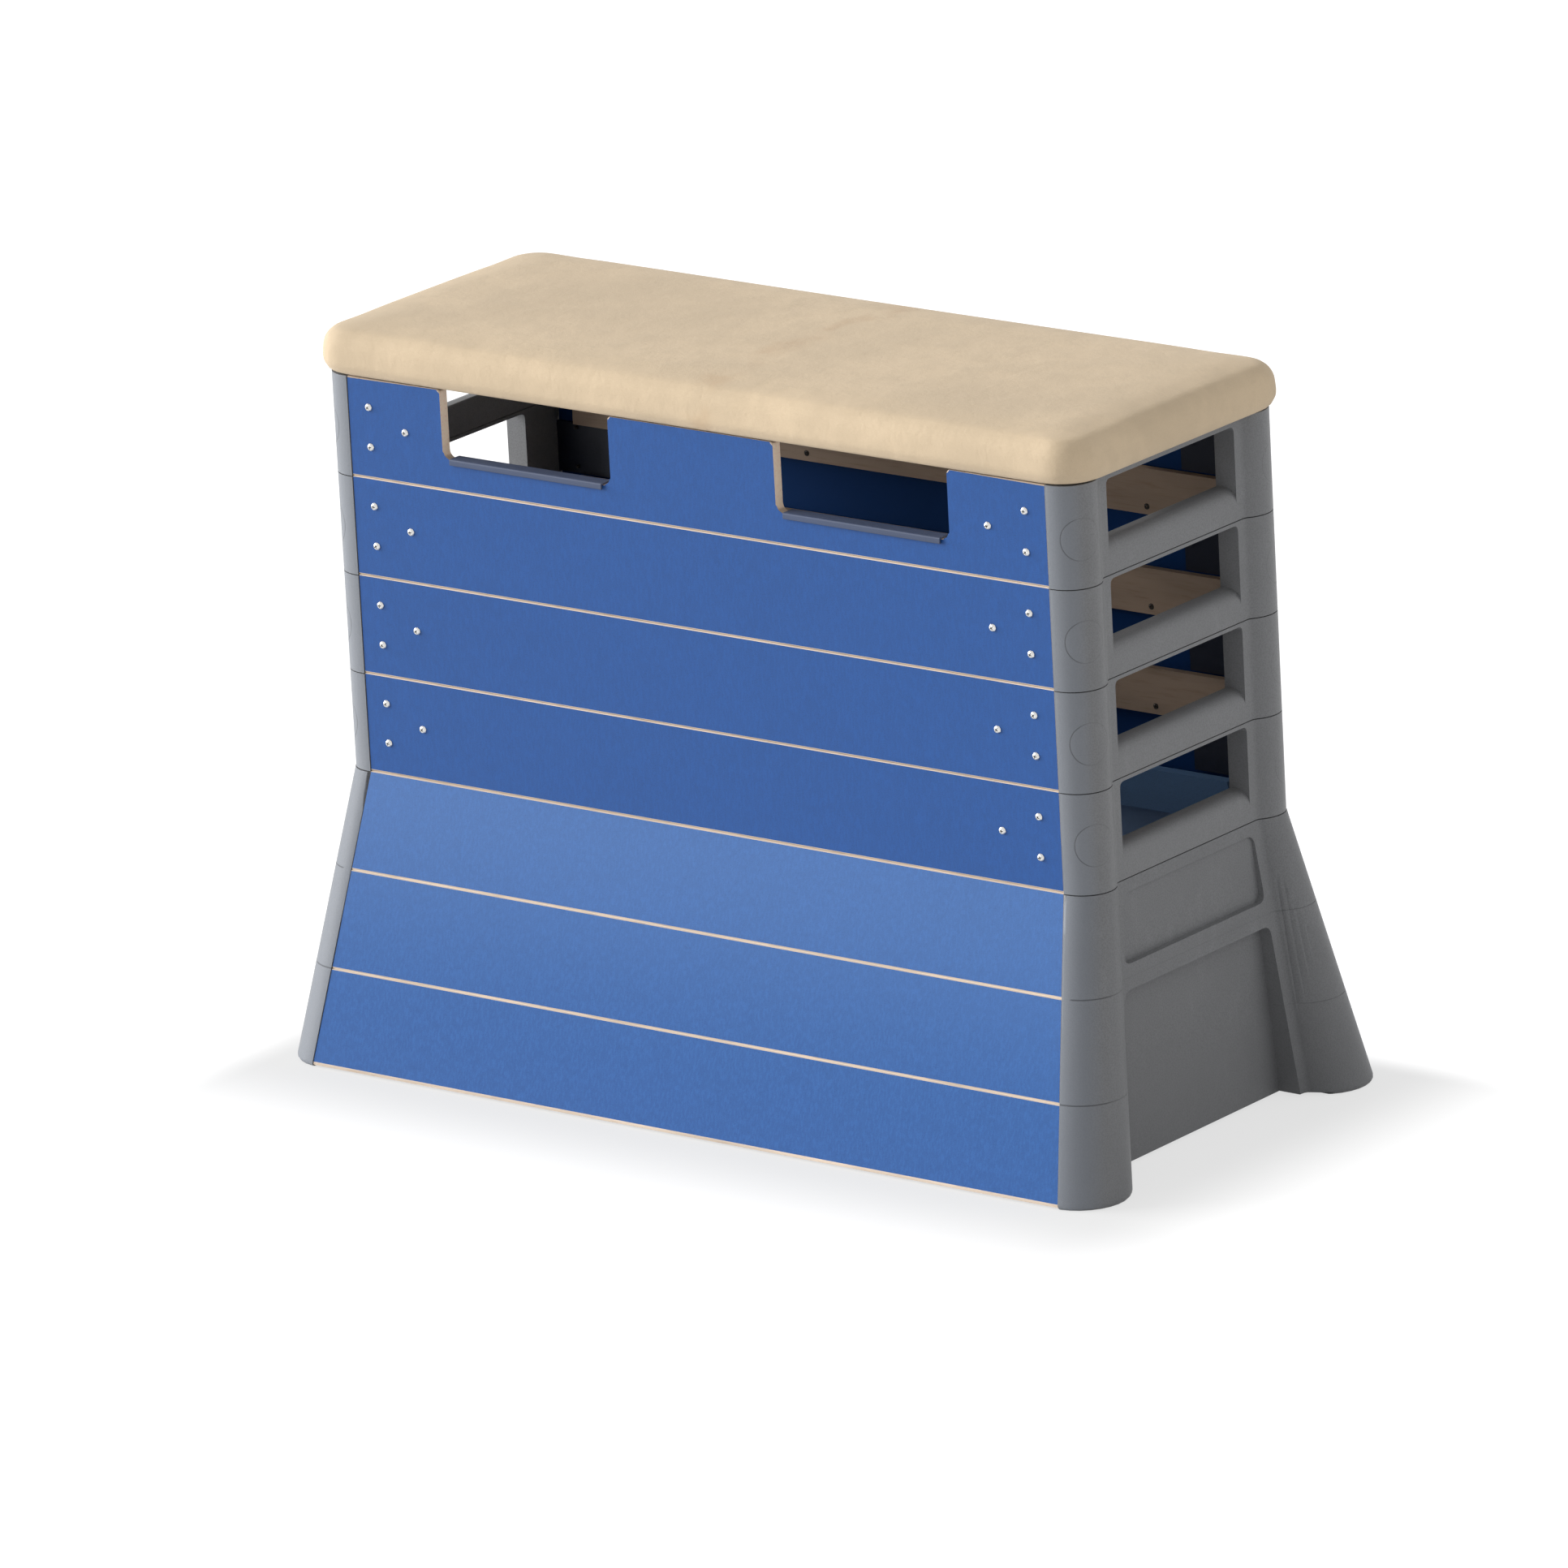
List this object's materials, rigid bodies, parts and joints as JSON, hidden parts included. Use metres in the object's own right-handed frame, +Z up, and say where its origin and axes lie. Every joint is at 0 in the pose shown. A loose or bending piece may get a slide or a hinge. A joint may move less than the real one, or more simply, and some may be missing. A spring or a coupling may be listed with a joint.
{
  "type": "vaulting box",
  "caption": "Sectional gymnastics vaulting box: flared base, stacking blue plywood sections with grey moulded ends, and a beige padded top.",
  "frame": {"origin": "on the floor, at the centre of the box's footprint", "axes": "+X along the box towards its right end, -Y out of the front long side, +Z up"},
  "size_m": [1.4888, 0.7316, 1.1039],
  "materials": {
    "blue_laminate": "satin blue laminate on birch plywood, edges bare",
    "base_laminate": "satin lighter blue laminate on birch plywood, edges bare",
    "birch_ply": "bare birch plywood",
    "grey_plastic": "fine grained grey moulding",
    "grip_rubber": "matte blue-grey",
    "beige_suede": "beige synthetic suede",
    "zinc_steel": "bright zinc plate"
  },
  "bodies": {
    "base": {"base_end_right": "grey_plastic", "base_end_left": "grey_plastic", "base_panel_front": "base_laminate", "base_panel_back": "base_laminate", "base_guide_front": "base_laminate", "base_guide_back": "base_laminate"},
    "fourth_section": {"fourth_end_right": "grey_plastic", "fourth_end_left": "grey_plastic", "fourth_panel_front": "blue_laminate", "fourth_panel_back": "blue_laminate", "fourth_guide_front": "birch_ply", "fourth_guide_back": "birch_ply"},
    "third_section": {"third_end_right": "grey_plastic", "third_end_left": "grey_plastic", "third_panel_front": "blue_laminate", "third_panel_back": "blue_laminate", "third_guide_front": "birch_ply", "third_guide_back": "birch_ply"},
    "second_section": {"second_end_right": "grey_plastic", "second_end_left": "grey_plastic", "second_panel_front": "blue_laminate", "second_panel_back": "blue_laminate", "second_guide_front": "birch_ply", "second_guide_back": "birch_ply", "second_screw_front_left_upper": "zinc_steel", "second_screw_front_left_middle": "zinc_steel", "second_screw_front_left_lower": "zinc_steel", "second_screw_front_right_upper": "zinc_steel", "second_screw_front_right_middle": "zinc_steel", "second_screw_front_right_lower": "zinc_steel", "second_screw_back_left_upper": "zinc_steel", "second_screw_back_left_middle": "zinc_steel", "second_screw_back_left_lower": "zinc_steel", "second_screw_back_right_upper": "zinc_steel", "second_screw_back_right_middle": "zinc_steel", "second_screw_back_right_lower": "zinc_steel"},
    "top_section": {"top_end_right": "grey_plastic", "top_end_left": "grey_plastic", "top_panel_front": "blue_laminate", "top_panel_back": "blue_laminate", "grip_strip_front_left": "grip_rubber", "grip_strip_front_right": "grip_rubber", "grip_strip_back_left": "grip_rubber", "grip_strip_back_right": "grip_rubber", "deck_board": "birch_ply", "pad": "beige_suede", "top_screw_front_left_upper": "zinc_steel", "top_screw_front_left_middle": "zinc_steel", "top_screw_front_left_lower": "zinc_steel", "top_screw_front_right_upper": "zinc_steel", "top_screw_front_right_middle": "zinc_steel", "top_screw_front_right_lower": "zinc_steel", "top_screw_back_left_upper": "zinc_steel", "top_screw_back_left_middle": "zinc_steel", "top_screw_back_left_lower": "zinc_steel", "top_screw_back_right_upper": "zinc_steel", "top_screw_back_right_middle": "zinc_steel", "top_screw_back_right_lower": "zinc_steel"}
  },
  "joints": [
    {"name": "fourth_lift", "type": "slide", "parent": "base", "child": "fourth_section", "axis": [0, 0, 1], "range_m": [0, 0.2]},
    {"name": "third_lift", "type": "slide", "parent": "fourth_section", "child": "third_section", "axis": [0, 0, 1], "range_m": [0, 0.2]},
    {"name": "second_lift", "type": "slide", "parent": "third_section", "child": "second_section", "axis": [0, 0, 1], "range_m": [0, 0.2]},
    {"name": "top_lift", "type": "slide", "parent": "second_section", "child": "top_section", "axis": [0, 0, 1], "range_m": [0, 0.2]}
  ]
}
